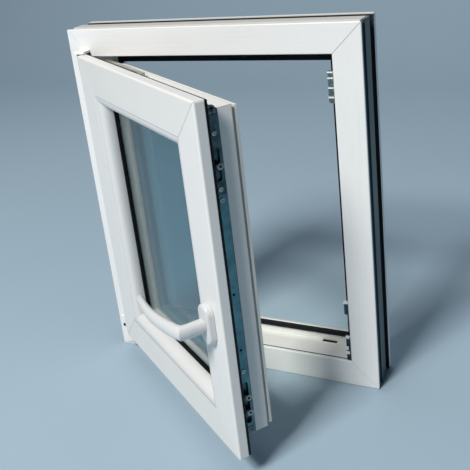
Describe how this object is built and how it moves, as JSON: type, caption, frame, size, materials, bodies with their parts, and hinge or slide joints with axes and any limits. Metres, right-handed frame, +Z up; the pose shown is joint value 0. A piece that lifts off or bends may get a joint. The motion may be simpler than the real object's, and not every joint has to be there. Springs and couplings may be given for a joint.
{
  "type": "tilt and turn window",
  "caption": "White plastic tilt and turn window with its sash swung open, a lever handle, double glazing and lock gear along the sash edge.",
  "frame": {"origin": "middle of the widest flat land on the sill's underside, 25 mm behind the room face", "axes": "+X along the sill towards the lock jamb, +Y towards outdoors, +Z up"},
  "size_m": [0.5, 0.3629, 0.6],
  "materials": {
    "frame_white": "smooth extruded plastic, semi gloss",
    "sash_white": "smooth extruded plastic, semi gloss",
    "bead_white": "smooth extruded plastic, semi gloss",
    "cover_white": "moulded plastic, satin",
    "handle_white": "white powder coat, satin",
    "gasket": "matte black",
    "glass": "clear float glass",
    "spacer": "mill finish, matte",
    "gear_metal": "zinc plated, satin",
    "keep_metal": "cast zinc, satin",
    "cam_metal": "turned steel, bright"
  },
  "bodies": {
    "frame": {"frame_sill": "frame_white", "frame_head": "frame_white", "frame_jamb_hinge": "frame_white", "frame_jamb_lock": "frame_white", "frame_gasket": "gasket", "keep_upper": "keep_metal", "keep_lower": "keep_metal", "tilt_keep": "keep_metal", "lower_hinge_bearing": "cover_white", "stay_bearing": "gear_metal", "stay_bearing_cap": "cover_white"},
    "sash": {"sash_bottom_rail": "sash_white", "sash_top_rail": "sash_white", "sash_hinge_stile": "sash_white", "sash_lock_stile": "sash_white", "bead_bottom": "bead_white", "bead_top": "bead_white", "bead_hinge": "bead_white", "bead_lock": "bead_white", "glazing_gasket_room": "gasket", "glazing_gasket_outdoor": "gasket", "glass_room": "glass", "glass_outdoor": "glass", "spacer_bar": "spacer", "stay_arm": "gear_metal", "sash_gasket": "gasket", "lower_hinge_leaf": "cover_white", "corner_drive_bottom": "gear_metal", "gear_plate": "gear_metal", "extension_plate": "gear_metal", "corner_drive_top": "gear_metal", "stay_guide": "gear_metal", "handle_rosette": "handle_white"},
    "drive": {"drive_rail": "gear_metal", "lock_cam_upper": "cam_metal", "lock_cam_lower": "cam_metal", "tilt_cam": "cam_metal"},
    "handle": {"handle_lever": "handle_white"}
  },
  "joints": [
    {"name": "sash_turn", "type": "hinge", "parent": "frame", "child": "sash", "pos_m": [-0.221, -0.034, 0.3], "axis": [0, 0, -1], "range_deg": [-35, 55]},
    {"name": "handle_turn", "type": "hinge", "parent": "sash", "child": "handle", "pos_m": [0.09212, -0.28071, 0.2475], "axis": [0.5736, 0.8192, 0], "range_deg": [-90, 90]},
    {"name": "drive_slide", "type": "slide", "parent": "sash", "child": "drive", "axis": [0, 0, 1], "range_m": [-0.018, 0.018]}
  ],
  "couplings": [
    {"joint": "drive_slide", "follows": "handle_turn", "m_per_rad": -0.011459}
  ]
}
